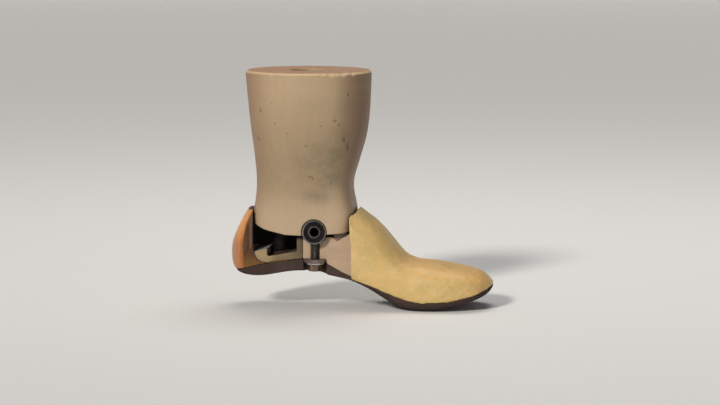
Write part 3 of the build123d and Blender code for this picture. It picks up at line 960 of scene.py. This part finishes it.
def front_bumper():
    """Felt wedge, bonded to the block above and to the keel below."""
    piece = softened("felt_front_bumper", ["front_bumper"], voxel=0.45 * MM, rounds=3)
    finish_piece(piece, None, "felt", FELT)
    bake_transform(piece)
    return piece


# ------------------------------------------------------------------ inner parts that keep their CAD shape

def carried_over():
    """Parts inside the joint and the toe, plain turned or cut."""
    for node, material in (("axle_sleeve", STEEL), ("axle_lock_pin", STEEL), ("thrust_washer_outer", BRASS),
                           ("thrust_washer_inner", BRASS), ("toe_filler", FRONT)):
        mesh = frame["nodes"][node].data
        mesh.materials.clear()
        mesh.materials.append(material)


# ------------------------------------------------------------------ studio

FLOOR_FLAT = 7.0
FLOOR_BEND = 1.0
# Way that the key shines, and the level way back toward it
KEY_WAY = Vector((0.85, 2.00, -1.25))
TO_KEY = (-0.4, -0.9)


def studio():
    """Round pale floor that curves up well beyond every view point. Where it turns its back on the key it
    glows a little, so that it stays even."""
    steps = 10
    turns = 96
    profile = [(1.5, 0.0), (FLOOR_FLAT, 0.0)]
    for step in range(1, steps + 1):
        angle = (pi / 2) * step / steps
        profile.append((FLOOR_FLAT + FLOOR_BEND * sin(angle), FLOOR_BEND * (1 - cos(angle))))
    shape = bmesh.new()
    rings = []
    for r, z in profile:
        angles = [2 * pi * turn / turns for turn in range(turns)]
        rings.append([shape.verts.new((r * cos(angle), r * sin(angle), FLOOR_Z + z)) for angle in angles])
    shape.faces.new(rings[0])
    for lower, upper in zip(rings, rings[1:]):
        band(shape, upper, lower)
    floor = new_piece("studio_floor", shape)
    paint = Paint("studio_paper")
    tooth = paint.noise((300, 300, 300), detail=3)
    colour = paint.mix(paint.spread(tooth, 0.3, 0.7), (0.80, 0.79, 0.77), (0.82, 0.81, 0.79))
    paint.shader.inputs["Emission Color"].default_value = (1.0, 0.99, 0.97, 1.0)
    key_side = paint.calc("ADD", paint.calc("MULTIPLY", paint.part("X"), TO_KEY[0]),
                          paint.calc("MULTIPLY", paint.part("Y"), TO_KEY[1]))
    turned_up = paint.calc("POWER", paint.zone("Z", (FLOOR_Z, FLOOR_Z + 0.4)), 0.5)
    glow = paint.calc("MULTIPLY", turned_up, paint.spread(key_side, -2.0, 2.0, 0.0, 0.32))
    paint.feed(glow, paint.shader.inputs["Emission Strength"])
    floor.data.materials.append(paint.done(colour, 0.9, paint.bump(tooth, 0.02 * MM)))


def facing(direction):
    """Rotation of a light or camera that looks along the direction."""
    return direction.to_track_quat("-Z", "Y").to_euler()


def soft_light(name, place, aim, size, watts, colour):
    """Square area light."""
    data = bpy.data.lights.new(name, "AREA")
    data.size = size
    data.energy = watts
    data.color = colour
    lamp = in_scene(name, data)
    lamp.location = place
    lamp.rotation_euler = facing(aim - place)


def lights():
    """Wide soft key from the upper left, weak fill from the right, a little from above."""
    middle = (cad_box[0] + cad_box[1]) / 2
    data = bpy.data.lights.new("key", "SUN")
    data.energy = 2.5
    data.angle = radians(10)
    data.color = (1.0, 0.96, 0.90)
    in_scene("key", data).rotation_euler = facing(KEY_WAY)
    soft_light("fill", middle + Vector((1.5, -1.8, 0.3)), middle, 1.2, 3, (0.94, 0.97, 1.0))
    soft_light("top", middle + Vector((0.1, 0.5, 1.6)), middle, 1.0, 11, (1.0, 0.98, 0.95))
    world = bpy.data.worlds.new("studio")
    world.use_nodes = True
    background = world.node_tree.nodes["Background"]
    background.inputs["Color"].default_value = (0.86, 0.88, 0.92, 1)
    background.inputs["Strength"].default_value = 0.20
    bpy.context.scene.world = world
    bpy.context.scene.view_settings.view_transform = "Standard"


AZIMUTH = radians(7.5)
ELEVATION = radians(6.6)
DISTANCE = 3.0
AIM = Vector((51.2 * MM, 0, -132.6 * MM))


def camera():
    """A long lens three metres away, a little to the toe side and above."""
    back = Vector((sin(AZIMUTH) * cos(ELEVATION), -cos(AZIMUTH) * cos(ELEVATION), sin(ELEVATION)))
    data = bpy.data.cameras.new("camera")
    data.sensor_width = 36
    data.lens = 150
    view = in_scene("camera", data)
    view.location = AIM + back * DISTANCE
    view.rotation_euler = facing(-back)
    bpy.context.scene.camera = view


studio()
lights()
camera()
ankle_block()
foot_cover()
heel_cover()
full_sole()
keels()
axle()
for side, where in ((-1, "outer"), (1, "inner")):
    eye_bolt(side, where)
    eye_bush(side, where)
    stud_ring("leather_pad_" + where, "stud_pad_" + where, "leather_pad", PAD, edge=0.7 * MM)
    stud_ring("plain_washer_" + where, "stud_washer_" + where, "steel", STEEL, edge=0.35 * MM)
    stud_nut(where)
heel_bumper()
bumper_seat()
front_bumper()
carried_over()
